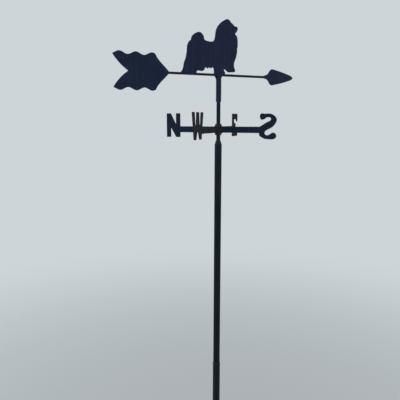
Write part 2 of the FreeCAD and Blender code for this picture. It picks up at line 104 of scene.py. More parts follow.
class WeldSizes(bpy.types.PropertyGroup):
    """Shape of the weld beads."""

    ripple_spacing: size("Ripple spacing", 1.5, "Distance between a bead's ripples")
    ripple_share: share("Ripple", 0.16, "Height of the ripples as a share of the bead")
    crown_share: share("Crown", 0.5, "Roundness of a bead, from flat to a quarter circle")
    step: size("Step", 0.2, "Distance between sections of a bead")
    arm_side: size("Arm side leg", 1.9, "Leg of an arm's weld on the hub, beside the arm")
    arm_edge: size("Arm edge leg", 2.4, "Leg of an arm's weld on the hub, above and below the arm")
    arm_reach: size("Arm reach", 3.8, "Leg of an arm's weld along the arm")


class ScrewSizes(bpy.types.PropertyGroup):
    """Set screw and its threaded hole."""

    pitch: size("Pitch", 0.8, "Distance from one turn of the thread to the next")
    depth: size("Thread depth", 0.36, "Depth of the thread")
    socket: size("Socket", 2.5, "Width across the flats of the hexagon socket")
    socket_depth: size("Socket depth", 2.5, "Depth of the hexagon socket")


class PaintLooks(bpy.types.PropertyGroup):
    """Colours of the paints and metals, and the scale of their texture."""

    vane: colour("Vane paint", 0.0085, 0.0165, 0.0410)
    # Darker colour that the arrow rod's paint is drawn toward
    primer: colour("Primer", 0.0042, 0.0066, 0.0150)
    cross: colour("Cross paint", 0.0040, 0.0115, 0.0245)
    # Browner cross paint of the east and west arms: painted reflection of the brown ground and house
    cross_reflecting: colour("Cross paint with painted reflection", 0.0140, 0.0146, 0.0232)
    mast: colour("Mast paint", 0.0030, 0.0060, 0.0092)
    # Paler, bluer colour at the mast's top: painted sky reflection on the swaged cone
    mast_top: colour("Mast top with painted sky reflection", 0.0075, 0.0128, 0.0230)
    rod: colour("Rod paint", 0.0042, 0.0088, 0.0180)
    stake: colour("Stake paint", 0.0055, 0.0085, 0.0105)
    dust: colour("Dust", 0.16, 0.14, 0.12)
    rust: colour("Rust", 0.085, 0.032, 0.014)
    # Brown of the painted reflection of the ground and house, on the hub and the side arms
    stain: colour("Stain", 0.050, 0.036, 0.032)
    soil: colour("Soil", 0.055, 0.036, 0.024)
    steel: colour("Steel", 0.42, 0.41, 0.40)
    zinc: colour("Zinc", 0.52, 0.53, 0.55)
    dull_zinc: colour("Dull zinc", 0.13, 0.134, 0.142)
    peel_spacing: size("Peel spacing", 1.8, "Distance between the bumps of the paint's skin")
    peel_height: size("Peel height", 0.06, "Height of the bumps of the paint's skin")


class StageLooks(bpy.types.PropertyGroup):
    """Floor, backdrop, lamps and camera."""

    backdrop: colour("Backdrop", 0.610, 0.665, 0.687)
    floor: colour("Floor", 0.41, 0.433, 0.447)
    floor_gap: size("Floor gap", 2.0, "Distance from the spike's tip down to the floor")
    sky_strength: FloatProperty(name="Sky", description="Strength of the light from all round",
                                default=0.86)
    key_power: FloatProperty(name="Key", description="Power of the left lamp", default=52, unit="POWER")
    fill_power: FloatProperty(name="Fill", description="Power of the right lamp", default=10, unit="POWER")
    camera_place: FloatVectorProperty(name="Camera place", description="Where the camera stands",
                                      default=(0.4135, -1.1058, 1.2754), subtype="TRANSLATION")
    camera_turn: FloatVectorProperty(name="Camera turn", description="How the camera is turned",
                                     default=np.radians((79.24, 0, 22.965)).tolist(), subtype="EULER")
    camera_lens: FloatProperty(name="Lens", description="Focal length on a frame 36 mm wide", default=37.78,
                               unit="CAMERA")


# What the frame says

def corners_of(node):
    """Every corner of a CAD node's mesh, as rows of x, y and z."""
    mesh = frame["nodes"][node].data
    corners = np.empty(3 * len(mesh.vertices))
    mesh.vertices.foreach_get("co", corners)
    return corners.reshape(-1, 3)


def turned_corners(node):
    """Distance from the mast's axis, and height, of every corner of a node."""
    corners = corners_of(node)
    return np.hypot(corners[:, 0], corners[:, 1]), corners[:, 2]


def turned_sizes(node):
    """Outer radius, least radius, low end and high end of a node that is round about the mast's axis."""
    radii, heights = turned_corners(node)
    return radii.max(), radii.min(), heights.min(), heights.max()


def extent(node, direction):
    """Least and greatest reach of a node's corners in a direction."""
    reach = corners_of(node) @ direction
    return reach.min(), reach.max()


def level_bar(node):
    """Height of the axis, and radius, of a node that is round about a level axis."""
    low, high = extent(node, UP)
    return (low + high) / 2, (high - low) / 2


def triangles_of(node):
    """Corners of a node with its doubles merged, and its triangles as indices of them.

    A triangle's unit normal and area come from the cross product of two of its sides.
    """
    mesh = frame["nodes"][node].data
    index = np.empty(len(mesh.loops), int)
    mesh.loops.foreach_get("vertex_index", index)
    keys, merged = np.unique(np.round(corners_of(node) / GRAIN).astype(int), axis=0, return_inverse=True)
    points = keys * GRAIN
    triangles = merged.reshape(-1)[index].reshape(-1, 3)
    first, second, third = points[triangles].swapaxes(0, 1)
    cross = np.cross(second - first, third - first)
    area = np.linalg.norm(cross, axis=1)
    return points, triangles, cross / np.maximum(area, NOTHING)[:, None], area


def vane_directions():
    """Directions of the vane: along its arrow, and out of its plates' front."""
    head, tail = (corners_of(node) for node in ("arrow_head", "tail_plate"))
    normal, area = triangles_of("tail_plate")[2:]
    across = normal[area.argmax()]
    front = across * np.sign((tail @ across).mean())
    flat = np.cross(front, UP)
    return flat * np.sign(flat @ (head.mean(axis=0) - tail.mean(axis=0))), front


# Curves and surfaces. A complex number is a place in a plane, its second part upward or toward +Y.

def unit(vector):
    """Vector or complex numbers brought to length one."""
    return vector / (np.abs(vector) if np.iscomplexobj(vector) else np.linalg.norm(vector))


def around(sides):
    """Even angles once round."""
    return np.linspace(-np.pi, np.pi, sides, endpoint=False)


def standing(flat, height):
    """Points above complex numbers of x plus i times y, at a height."""
    return np.stack(np.broadcast_arrays(flat.real, flat.imag, height), axis=-1)


def placed(flat, across, outward, reach):
    """Complex numbers across plus i times up, set up in space at a reach outward."""
    return across * flat.real[..., None] + UP * flat.imag[..., None] + outward * reach[..., None]


def laid(points, direction, origin):
    """Points made about the upright axis, with that axis laid level along a direction from an origin."""
    flat = points[..., 0] + 1j * points[..., 1]
    return origin + placed(flat, np.cross(UP, direction), direction, points[..., 2])


def softened(corners, radii, closed=True, steps=6):
    """Profile through corners, each one rounded, as complex numbers.

    The arc at a corner has its centre on the corner's bisector, the radius over the sine of the half
    angle away, and turns evenly from one tangent point to the other. A support point lies half a
    radius before and after each arc, which keeps the shading flat between arcs. An open profile
    keeps its first and last corners as they are.
    """
    corners = np.array(corners, float) @ (1, 1j)
    radii = np.array(radii, float)
    back, ahead = (unit(np.roll(corners, hop) - corners) for hop in (1, -1))
    half = np.abs(np.angle(ahead / back)) / 2
    setback = radii / np.tan(half)
    centre = corners + unit(back + ahead) * radii / np.sin(half)
    start, end = (corners + side * setback - centre for side in (back, ahead))
    before, after = (corners + side * (setback + radii / 2) for side in (back, ahead))
    sweep = np.pi - 2 * half
    turned = np.linspace(0, 1, steps)[:, None]
    arcs = (start * np.sin((1 - turned) * sweep) + end * np.sin(turned * sweep)) / np.sin(sweep)
    points = np.vstack([before, centre + arcs, after]).T
    if closed:
        return points.reshape(-1)
    return np.concatenate([corners[:1], points[1:-1].reshape(-1), corners[-1:]])


def spun(profile, sides):
    """Surface of revolution: a profile of radius plus i times height, at every angle round the axis."""
    return standing(profile.real[:, None] * np.exp(1j * around(sides)), profile.imag[:, None])


def evenly(ring, step):
    """Closed line with points at even distances along it, and that distance."""
    closed = np.append(ring, ring[0])
    passed = np.append(0, np.cumsum(np.abs(np.diff(closed))))
    count = int(round(passed[-1] / step))
    at = np.linspace(0, passed[-1], count, endpoint=False)
    line = np.interp(at, passed, closed.real) + 1j * np.interp(at, passed, closed.imag)
    return line, passed[-1] / count


def rounded_box(half_width, half_height, radius, steps, spacing):
    """Rounded rectangle as an even closed line, and the distance between its points."""
    corners = np.array([(-1, -1), (1, -1), (1, 1), (-1, 1)]) * (half_width, half_height)
    return evenly(softened(corners, radius, steps=steps), spacing)


def outward_of(ring, hop):
    """Direction out of a closed line at each point, square to the line between its neighbours."""
    return -1j * unit(np.roll(ring, -hop) - np.roll(ring, hop))


def ring_order(following):
    """Order of the points round a closed ring, from the point that follows each one.

    The ring is cut before its first point. The steps from every point to the cut are counted by
    doubling: each pass adds the steps of the point reached so far and then hops twice as far.
    """
    hop = following.copy()
    last = np.flatnonzero(following == 0)
    hop[last] = last
    steps = np.ones(len(hop), int)
    steps[last] = 0
    for _ in range(len(hop).bit_length()):
        steps = steps + steps[hop]
        hop = hop[hop]
    return np.argsort(-steps)


def plate_outline(node):
    """Outline of a flat upright plate's face, its directions, its place along the second, its thickness.

    The largest triangle lies on a face. The face's triangles are those with its normal, and the
    outline is made of the sides that only one of them has.
    """
    points, triangles, normal, area = triangles_of(node)
    front = normal[area.argmax()]
    along = np.cross(UP, front)
    face = triangles[normal @ front > SAME_WAY]
    sides = face[:, [[0, 1], [1, 2], [2, 0]]].reshape(-1, 2)
    code = sides @ (len(points), 1)
    rim = sides[~np.isin(code, sides @ (1, len(points)))]
    starts, first = np.unique(rim[:, 0], return_index=True)
    order = ring_order(np.searchsorted(starts, rim[first, 1]))
    outline = points[starts[order]]
    place = (outline @ front).mean()
    return outline @ along + 1j * outline[:, 2], along, front, place, place - (points @ front).min()


def touching_radius(ring, outward):
    """Radius of the largest circle inside a closed line that touches it at each of its points.

    The circle that touches one point and passes through another has as its radius the squared
    distance between them over twice that distance's part along the normal. The least one counts.
    """
    apart = ring[:, None] - ring
    depth = (apart * np.conj(outward[:, None])).real
    radius = np.abs(apart) ** 2 / np.maximum(2 * depth, NOTHING)
    np.fill_diagonal(radius, np.inf)
    return radius.min(axis=1)


def cut_plate(node, sizes):
    """Plate cut along its outline, with painted-over edges and the cutter's faint ridges.

    The outline is a closed complex line, blurred with a Gaussian through its Fourier series, which
    also gives its direction. The edge's profile runs in a quarter circle of the paint's radius from
    the front face to the side and in another to the back, and is carried along the line. The step
    inward is held under the radius of the circle that fits into the outline there.
    """
    arc_steps, side_steps, support_share, room_share = 5, 6, 1.4, 0.8
    worn_at, worn_spread = 0.3, 0.35
    ring, along, front, place, thickness = plate_outline(node)
    ring, step = evenly(ring, sizes.outline_step)
    frequency = np.fft.fftfreq(len(ring), step)
    series = np.fft.fft(ring) * np.exp(-2 * (np.pi * sizes.cut_softness * frequency) ** 2)
    ring = np.fft.ifft(series)
    outward = -1j * unit(np.fft.ifft(2j * np.pi * frequency * series))

    radius = sizes.paint_radius
    turn = np.linspace(0, np.pi / 2, arc_steps)
    side = np.linspace(radius, thickness - radius, side_steps)[1:-1]
    half_inset = radius * np.append(support_share, 1 - np.sin(turn))
    half_depth = radius * np.append(0, 1 - np.cos(turn))
    inset = np.concatenate([half_inset, 0 * side, half_inset[::-1]])[:, None]
    depth = np.concatenate([half_depth, side, thickness - half_depth[::-1]])[:, None]
    share_of = depth / thickness
    ridges = step * np.arange(len(ring)) / sizes.ridge_spacing - share_of ** 2
    ridge = (1 + np.cos(2 * np.pi * ridges)) / 2 * np.sin(np.pi * share_of) ** 2
    inward = np.minimum(inset, room_share * touching_radius(ring, outward)) + sizes.ridge_height * ridge
    wear = np.exp(-((inset / radius - worn_at) / worn_spread) ** 2)
    return surface(placed(ring - outward * inward, along, front, place - depth), caps=True, wear=wear)


def crown(sizes, steps=9):
    """Section of a fillet bead: turn along its crown, and shares of its two legs.

    The crown runs from the end of one leg to the end of the other, between a straight line and a
    quarter circle.
    """
    turn = np.linspace(0, np.pi / 2, steps)
    straight = turn / turn[-1]
    round_share = sizes.crown_share
    first = round_share * np.cos(turn) + (1 - round_share) * (1 - straight)
    second = round_share * np.sin(turn) + (1 - round_share) * straight
    return turn, first, second


def rippled(passed, turn, sizes, seed):
    """Growth of a bead's section: scallops drawn back toward the bead's toes, plus a slow waver."""
    drag, sharpness, mean, toe_share = 0.55, 0.7, 0.6, 0.35
    passed = passed[:, None]
    phase = passed / sizes.ripple_spacing - drag * np.sin(2 * turn) + seed
    scallop = np.abs(np.sin(np.pi * phase)) ** sharpness - mean
    growth = 1 + sizes.ripple_share * scallop * (toe_share + (1 - toe_share) * np.sin(2 * turn))
    wavers = ((0.05, 5 * MM, 3 * seed), (0.03, 2.3 * MM, seed))
    for height, length, start in wavers:
        growth = growth + height * np.sin(passed / length + start)
    return growth


def sunk(shares):
    """Shares of a leg for a bead's section, with one more point behind, sunk into the metal."""
    return np.append(shares, np.full((len(shares), 1), -SUNK_SHARE), axis=1)


def bead(path, leg_a, leg_b, sizes, ring=False, seed=0.0):
    """Fillet weld: the crown between two leg vectors, carried along a path.

    The ends of an open bead shrink as a quarter ellipse.
    """
    end_share, end_most = 1.6, 0.992
    turn, first, second = crown(sizes)
    passed = np.append(0, np.cumsum(np.linalg.norm(np.diff(path, axis=0), axis=1)))
    growth = rippled(passed, turn, sizes, seed)
    if not ring:
        reach = end_share * np.linalg.norm(leg_a, axis=-1).max()
        ended = np.clip(1 - np.minimum(passed, passed[-1] - passed) / reach, 0, end_most)
        growth = growth * np.sqrt(1 - ended ** 2)[:, None]
    points = path[:, None]
    for leg, shares in ((leg_a, first), (leg_b, second)):
        points = points + np.broadcast_to(leg, path.shape)[:, None] * sunk(shares * growth)[..., None]
    return surface(points, ring=ring, caps=not ring)


def ring_bead(node, sizes, seed):
    """Bead round the mast's axis, with the legs of the plain ring that the frame holds."""
    outer, inner, low, high = turned_sizes(node)
    angle = np.linspace(0, 2 * np.pi, int(2 * np.pi * inner / sizes.step), endpoint=False)
    outward = standing(np.exp(1j * angle), 0)
    return bead(inner * outward + low * UP, (outer - inner) * outward, (high - low) * UP, sizes, True, seed)


def lap_bead(start, end, side, sizes, seed):
    """Bead behind a plate, from start to end along the shaft, above it for side 1 and below for -1."""
    along, front = vane_directions()
    centre, radius = level_bar("arrow_shaft")
    toe_share = 0.72
    toe = toe_share * radius
    corner = front * radius + UP * (centre + side * toe)
    up_leg = UP * side * (extent("dog_welds", UP)[1] - centre - toe)
    over_leg = UP * side * (radius - toe) - front * radius
    places = np.linspace(start, end, int((end - start) / sizes.step))[:, None]
    return bead(corner + along * places, up_leg, over_leg, sizes, seed=seed)


def arm_bead(arm, sizes, seed):
    """Bead round an arm where it meets the hub.

    The path is the arm's rounded section. The crown stands on it, its foot on the hub's cylinder:
    reach is the root of the squared radius less the squared distance across.
    """
    near_share, corner_share, corner_steps, hop, sink_share = 1.02, 0.7, 6, 3, 1 / 3
    hub_radius, _, hub_low, hub_high = turned_sizes("hub_collar")
    low, high = (np.array(corner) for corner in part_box(arm))
    direction = np.round(unit((low + high) * (1, 1, 0)))
    across = np.cross(UP, direction)
    half_across = (high - low) @ np.abs(across) / 2
    corners = corners_of(arm)
    near = corners[corners @ direction < hub_radius * near_share, 2]
    half_up = (near.max() - near.min()) / 2

    ring, step = rounded_box(half_across, half_up, corner_share * half_across, corner_steps, sizes.step)
    outward = outward_of(ring, hop)
    turn, first, second = crown(sizes)
    growth = rippled(step * np.arange(len(ring)), turn, sizes, seed)
    leg = sizes.arm_side + (sizes.arm_edge - sizes.arm_side) * outward.imag ** 2
    line = ring[:, None] + (outward * leg)[:, None] * second * growth
    line = np.append(line, (ring - outward * half_across * sink_share)[:, None], axis=1)
    reach = np.sqrt(hub_radius ** 2 - line.real ** 2) + sizes.arm_reach * sunk(first * growth)
    return surface(placed(line + 1j * (hub_low + hub_high) / 2, across, direction, reach), ring=True)


def corner_bead(side, sizes, seed):
    """Concave weld in the corner under the shaft, on one side of the sleeve.

    Its outer line is a quadratic curve from the shaft to the sleeve. Each section is an ellipse from
    that line to a point sunk in the corner, wider where the bead wraps the sleeve.
    """
    bend_share, sink_share, width_share, flare_share = 0.22, 0.16, 0.36, 0.3
    density, ripple_stretch, sides = 1.5, 1.2, 24
    along, front = vane_directions()
    corners = corners_of("sleeve_weld")
    own = corners[side * (corners @ along) > 0]
    radius = turned_sizes("pivot_sleeve")[0]
    corner = side * radius + 1j * extent("arrow_shaft", UP)[0]
    far = side * np.abs(own @ along).max() + 1j * corner.imag
    low = corner.real + 1j * own[:, 2].min()
    bend = corner + bend_share * (far + low - 2 * corner)
    back = corner + sink_share * radius * (1j - side)
    length = np.abs(far - low)
    share_of = np.linspace(0, 1, int(density * length / sizes.step))[:, None]
    line = (1 - share_of) ** 2 * far + 2 * share_of * (1 - share_of) * bend + share_of ** 2 * low
    growth = rippled(share_of[:, 0] * length * ripple_stretch, np.full(1, np.pi / 4), sizes, seed)
    turn = np.linspace(0, 2 * np.pi, sides, endpoint=False)
    flat = (line + back) / 2 + (line - back) / 2 * (1 + growth) / 2 * np.cos(turn)
    width = width_share * radius * (1 + flare_share * share_of) * growth
    return surface(placed(flat, along, front, width * np.sin(turn)), caps=True)


def hole_border(low, high, spread, sides, rise):
    """Border of the wall part round a hole: angle from the hole plus i times height."""
    across = np.linspace(-spread, spread, sides + 1)[:-1]
    upward = np.linspace(low, high, rise + 1)[:-1]
    return np.concatenate([across + 1j * low, spread + 1j * upward, 1j * high - across,
                           1j * (low + high - upward) - spread])


def bored_wall(wall_radius, border, rim, hole, hole_angle):
    """Cylinder wall round a hole: a share along each ray, from the hole's rim to the border."""
    steps, crowding = 40, 1.7
    hole_height, hole_radius = hole
    side, rise = hole_radius * np.cos(rim), hole_radius * np.sin(rim)
    start = np.arcsin(side / wall_radius) + 1j * (hole_height + rise)
    place = start + (border - start) * np.linspace(0, 1, steps)[:, None] ** crowding
    return standing(wall_radius * np.exp(1j * (hole_angle + place.real)), place.imag)


def thread(distance, angle, pitch):
    """Height of a thread's flank from 0 to 1: a triangle wave of the distance less the turns made."""
    steepness, root_share = 1.5, 0.25
    turns = distance / pitch - angle / (2 * np.pi)
    return np.clip(steepness * np.abs(2 * (turns % 1) - 1) - root_share, 0, 1)


def hole_wall(outer, bore, rim, hole, hole_angle, pitch, depth):
    """Wall of a radial hole, from the outer to the inner cylinder, with a thread cut into it."""
    plain_steps, end_steps, turn_steps = 2, 4, 12
    hole_height, hole_radius = hole
    steps = end_steps + int(turn_steps * (outer - bore) / pitch) if depth else plain_steps
    across = hole_radius * np.cos(rim)
    outside, inside = (np.sqrt(wall ** 2 - across ** 2) for wall in (outer, bore))
    share_of = np.linspace(0, 1, steps)[:, None]
    reach = outside + (inside - outside) * share_of
    radius = hole_radius + depth * thread(reach, rim, pitch) * 2 * np.sqrt(share_of * (1 - share_of))
    flat = np.exp(1j * hole_angle) * (reach + 1j * radius * np.cos(rim))
    return standing(flat, hole_height + radius * np.sin(rim))


def bored_tube(node, band, rim_cut, hole, hole_angles, sizes, pitch=MM, depth=0.0):
    """Tube with radial holes in a band of its wall: two lips turned on the axis, and the band's parts.

    A hole is its height and radius. Each part of the band is made of rays round its hole, and all
    parts meet at the same points.
    """
    rise = 12
    outer, bore, low, high = turned_sizes(node)
    surfaces = []
    for edge, end, cut in ((band[1], high, -rim_cut), (band[0], low, rim_cut)):
        profile = [(outer, edge), (outer, end + cut), (outer - rim_cut, end), (bore, end), (bore, edge)]
        lip = softened(profile, sizes.lip_radius / 2, closed=False)
        surfaces.append(surface(spun(lip, sizes.round_sides)))
    parts = len(hole_angles)
    border = hole_border(*band, np.pi / parts, sizes.round_sides // parts, rise)
    rim = np.angle(border.real * outer + 1j * (border.imag - hole[0]))
    for hole_angle in hole_angles:
        for wall in (outer, bore):
            surfaces.append(surface(bored_wall(wall, border, rim, hole, hole_angle)))
        surfaces.append(surface(hole_wall(outer, bore, rim, hole, hole_angle, pitch, depth)))
    return surfaces


def screw_surface(length, radius, sizes):
    """Set screw on its own axis: cup point, thread, end face and hexagon socket in one run of rings.

    A ring is a radius for each angle at a height. In the thread the radius follows the thread's wave,
    and in the socket it is half the width over the cosine of the angle from the nearest flat's middle.
    """
    sides, turn_steps, fade_share, bevel_share = 72, 12, 0.4, 0.14
    cup_shares = ((0.1, 0.42), (0.5, 0.04), (0.6, 0))
    start_share, shoulder_share, face_share, drill_share = 0.3, 0.15, 0.45, 0.3
    nick, mouth, mouth_depth, fillet, drill_depth = np.array((0.02, 0.06, 0.08, 0.05, 0.25)) * MM
    angle = around(sides)
    flat = np.pi / 3
    hexagon = sizes.socket / 2 / np.cos((angle + flat / 2) % flat - flat / 2)
    root = radius - sizes.depth
    bevel = bevel_share * radius + sizes.depth
    start, top, floor = start_share * bevel, length - bevel, length - sizes.socket_depth
    heights = np.linspace(bevel, top, int(turn_steps * length / sizes.pitch))
    fade = np.clip(np.minimum(heights - bevel, top - heights) / (fade_share * sizes.pitch), 0, 1)
    wave = root + sizes.depth * fade[:, None] * thread(heights[:, None], angle, sizes.pitch)
    cup = np.vstack([radius * np.array(cup_shares), (root - start, start), (root, bevel - nick)])
    crest = np.array([(root, top + nick), (root - shoulder_share * bevel, length - start),
                      (root - face_share * bevel, length)])
    socket = [hexagon + mouth, hexagon, hexagon, hexagon - fillet, drill_share * hexagon]
    radii = np.vstack([cup[:, :1] + 0 * angle, wave, crest[:, :1] + 0 * angle, socket])
    rise = np.concatenate([cup[:, 1], heights, crest[:, 1],
                           (length, length - mouth_depth, floor + fillet, floor, floor - drill_depth)])
    return standing(radii * np.exp(1j * angle), rise[:, None])


def step_surface(sizes):
    """Step plate: a section loop of its hole, top, rim and underside, carried round the spike.

    The outline is a rounded rectangle, and each of its points has a partner on the hole. The faces lie
    at shares between the partners.
    """
    corner_share, corner_steps, radius_share, support_share, steps = 0.54, 16, 1.4, 1.6, 6
    low, high = (np.array(corner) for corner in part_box("foot_step"))
    half_width, half_depth, _ = (high - low) / 2
    ring, _ = rounded_box(half_width, half_depth, corner_share * half_depth, corner_steps, MM)
    inward = -outward_of(ring, 1)
    partner = turned_sizes("foot_step")[1] * unit(ring)
    radius = sizes.paint_radius * radius_share
    turn = np.linspace(0, np.pi / 2, steps)[:, None]
    across = np.linspace(0, 1, steps)[:, None]
    arc = ring + inward * radius * (1 - np.sin(turn))
    drop = radius * (1 - np.cos(turn))
    face = partner + (ring + inward * radius * support_share - partner) * across
    line = np.concatenate([face, arc, arc[::-1], face[::-1]])
    level = 0 * across
    height = np.concatenate([high[2] + level, high[2] - drop, low[2] + drop[::-1], low[2] + level])
    wear = np.concatenate([level, np.sin(2 * turn), np.sin(2 * turn), level])
    return surface(standing(line, height), ring=True, wear=wear)


# Meshes

def surface(points, ring=False, caps=False, wear=0.0):
    """Grid of points whose columns close on themselves.

    With ring the last row joins the first, and with caps the first and last rows are filled. Wear is
    how bare each point may be rubbed.
    """
    return {"points": points, "ring": ring, "caps": caps, "wear": np.broadcast_to(wear, points.shape[:2])}


def quads_of(index):
    """Faces between the rows of a grid of indices whose columns close on themselves."""
    index = np.hstack([index, index[:, :1]])
    corners = [index[:-1, :-1], index[:-1, 1:], index[1:, 1:], index[1:, :-1]]
    return np.stack(corners, axis=-1).reshape(-1, 4)


def put_in(name, data):
    """New object at the origin of the scene."""
    made = bpy.data.objects.new(name, data)
    bpy.context.scene.collection.objects.link(made)
    return made


def make_piece(name, surfaces, slot, body, *replaced):
    """Puts grids into one mesh, closes it, turns it right side out and rides it on its body."""
    quads, caps, start = [], [], 0
    for each in surfaces:
        rows, columns = each["points"].shape[:2]
        index = start + np.arange(rows * columns).reshape(rows, columns)
        start += rows * columns
        if each["caps"]:
            caps += [index[0, ::-1].tolist(), index[-1].tolist()]
        if each["ring"]:
            index = np.vstack([index, index[:1]])
        quads += quads_of(index).tolist()
    mesh = bpy.data.meshes.new(name)
    mesh.from_pydata(np.concatenate([each["points"].reshape(-1, 3) for each in surfaces]), [], quads + caps)
    mesh.polygons.foreach_set("use_smooth", np.arange(len(mesh.polygons)) < len(quads))
    wear = mesh.attributes.new("wear", "FLOAT", "POINT")
    wear.data.foreach_set("value", np.concatenate([each["wear"].reshape(-1) for each in surfaces]))
    shell = bmesh.new()
    shell.from_mesh(mesh)
    bmesh.ops.remove_doubles(shell, verts=shell.verts, dist=GRAIN)
    bmesh.ops.recalc_face_normals(shell, faces=shell.faces)
    if any(not edge.is_manifold for edge in shell.edges):
        raise ValueError(name + " isn't closed")
    shell.to_mesh(mesh)
    shell.free()
    mesh.materials.append(finish_of(slot))
    piece = put_in(name, mesh)
    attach(piece, body)
    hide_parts(*replaced)
    return piece


# Finishes

# Noise patterns: features to the metre, detail, the noise values where the pattern starts and is
# full, and for one drawn out along an axis how it is stretched
PATTERNS = {
    "mottle": (30, 4, 0.32, 0.68),
    "fleck": (420, 3, 0.35, 0.65),
    "dust": (150, 5, 0.3, 0.75),
    "streak": (1, 4, 0.5, 0.8, (190, 190, 9)),
    "speck": (1500, 1, 0.7, 0.78),
    "scratch": (1, 2, 0.715, 0.735, (70, 70, 1900)),
    "scratch_gap": (40, 2, 0.5, 0.62),
    "chip": (330, 4, 0.615, 0.655),
    # Patches of the painted brown reflection on the hub and the side arms
    "stain": (65, 6, 0.4, 0.7),
    "sheen": (60, 3, 0.3, 0.7),
    "soil": (1, 8, 0.3, 0.66, (330, 330, 120)),
    "rub": (1, 4, 0.42, 0.62, (260, 260, 2600)),
    "tarnish": (420, 5, 0.42, 0.68),
}
PAINT_GLOSS = 0.1        # specular level of the paint


def shade(rgb, strength=1.0):
    """Colour as four values, made lighter or darker."""
    return tuple(min(1.0, value * strength) for value in rgb) + (1.0,)


class Nodes:
    """Shader nodes of a material or a world, begun from none."""

    def __init__(self, owner):
        """Takes out the nodes that the owner came with."""
        owner.use_nodes = True
        self.tree = owner.node_tree
        self.tree.nodes.clear()

    def feed(self, node, sockets):
        """Links each socket to the output that is its value, or sets it to any other value."""
        for name, value in sockets.items():
            if isinstance(value, bpy.types.NodeSocket):
                self.tree.links.new(value, node.inputs[name])
            else:
                node.inputs[name].default_value = value

    def add(self, kind, sockets, **settings):
        """Outputs of a new node."""
        made = self.tree.nodes.new("ShaderNode" + kind)
        for name, value in settings.items():
            setattr(made, name, value)
        self.feed(made, sockets)
        return made.outputs

    def math(self, operation, first, second=0.0, clamp=False):
        """Result of a sum on one or two values, held between 0 and 1 if asked."""
        return self.add("Math", {0: first, 1: second}, operation=operation, use_clamp=clamp)[0]

    def times(self, first, second):
        """Product of two values."""
        return self.math("MULTIPLY", first, second)

    def seen(self):
        """One for rays from the camera, and for those that gloss or glass sends on."""
        rays = self.add("LightPath", {})
        gloss = self.math("ADD", rays["Is Camera Ray"], rays["Is Glossy Ray"])
        return self.math("ADD", gloss, rays["Is Transmission Ray"], clamp=True)


class Finish(Nodes):
    """Material in object coordinates: layers laid over a tone, and a surface shader."""

    def __init__(self, name):
        """Makes the material, its surface shader and its output."""
        self.material = bpy.data.materials.new(name + "_finish")
        super().__init__(self.material)
        self.place = self.add("TexCoord", {})["Object"]
        self.shader = self.tree.nodes.new("ShaderNodeBsdfPrincipled")
        self.output = self.tree.nodes.new("ShaderNodeOutputMaterial")
        self.feed(self.output, {"Surface": self.shader.outputs["BSDF"]})

    def ramp(self, value, low, high, least=0.0, most=1.0, kind="LINEAR"):
        """Value brought from one range to another, and held at its ends."""
        sockets = {"Value": value, "From Min": low, "From Max": high, "To Min": least, "To Max": most}
        return self.add("MapRange", sockets, interpolation_type=kind)["Result"]

    def noise(self, scale, detail, stretch=None):
        """Noise of about 0 to 1 with a number of features to the metre, stretched if asked."""
        place = self.place
        if stretch:
            place = self.add("Mapping", {"Vector": place, "Scale": stretch})["Vector"]
        return self.add("TexNoise", {"Vector": place, "Scale": scale, "Detail": detail})["Fac"]

    def pattern(self, name, least=0.0, most=1.0):
        """One of the noise patterns."""
        scale, detail, low, high, *stretch = PATTERNS[name]
        return self.ramp(self.noise(scale, detail, *stretch), low, high, least, most)

    def upward(self, vector):
        """Upward part of a vector."""
        return self.add("SeparateXYZ", {0: vector})["Z"]

    def marked(self, name):
        """Value that the mesh holds at each point."""
        return self.add("Attribute", {}, attribute_name=name)["Fac"]

    def from_axis(self):
        """Distance from the mast's axis."""
        flat = self.add("VectorMath", {0: self.place, 1: (1, 1, 0)}, operation="MULTIPLY")["Vector"]
        return self.add("VectorMath", {0: flat}, operation="LENGTH")["Value"]

    def between(self, factor, first, second):
        """Value between two."""
        return self.add("Mix", {0: factor, 2: first, 3: second})[0]

    def blend(self, factor, first, second):
        """Colour between two."""
        return self.add("Mix", {0: factor, 6: first, 7: second}, data_type="RGBA")[2]

    def lay(self, factor, rgb, strength=1.0):
        """Lays a colour over the tone, as far as the factor goes."""
        self.tone = self.blend(factor, self.tone, shade(rgb, strength))

    def bump(self, height, distance, strength, under=None, invert=False):
        """Normal bent by a height, over the bumps under it."""
        sockets = {"Height": height, "Distance": distance, "Strength": strength}
        if under:
            sockets["Normal"] = under
        return self.add("Bump", sockets, invert=invert)["Normal"]

    def soiled(self, rough, rgb):
        """Lays soil from the spike up to the step, its edge splashed, and gives the roughness."""
        top, full, splash, soil_rough = -0.02, -0.16, -0.15, 0.92
        least, most, splash_detail, splash_stretch = 0.25, 0.95, 6, (110, 110, 30)
        splashed = self.times(self.noise(1, splash_detail, splash_stretch), splash)
        level = self.math("ADD", self.upward(self.place), splashed)
        grime = self.times(self.ramp(level, top, full), self.pattern("soil", least, most))
        self.lay(grime, rgb)
        return self.between(grime, rough, soil_rough)


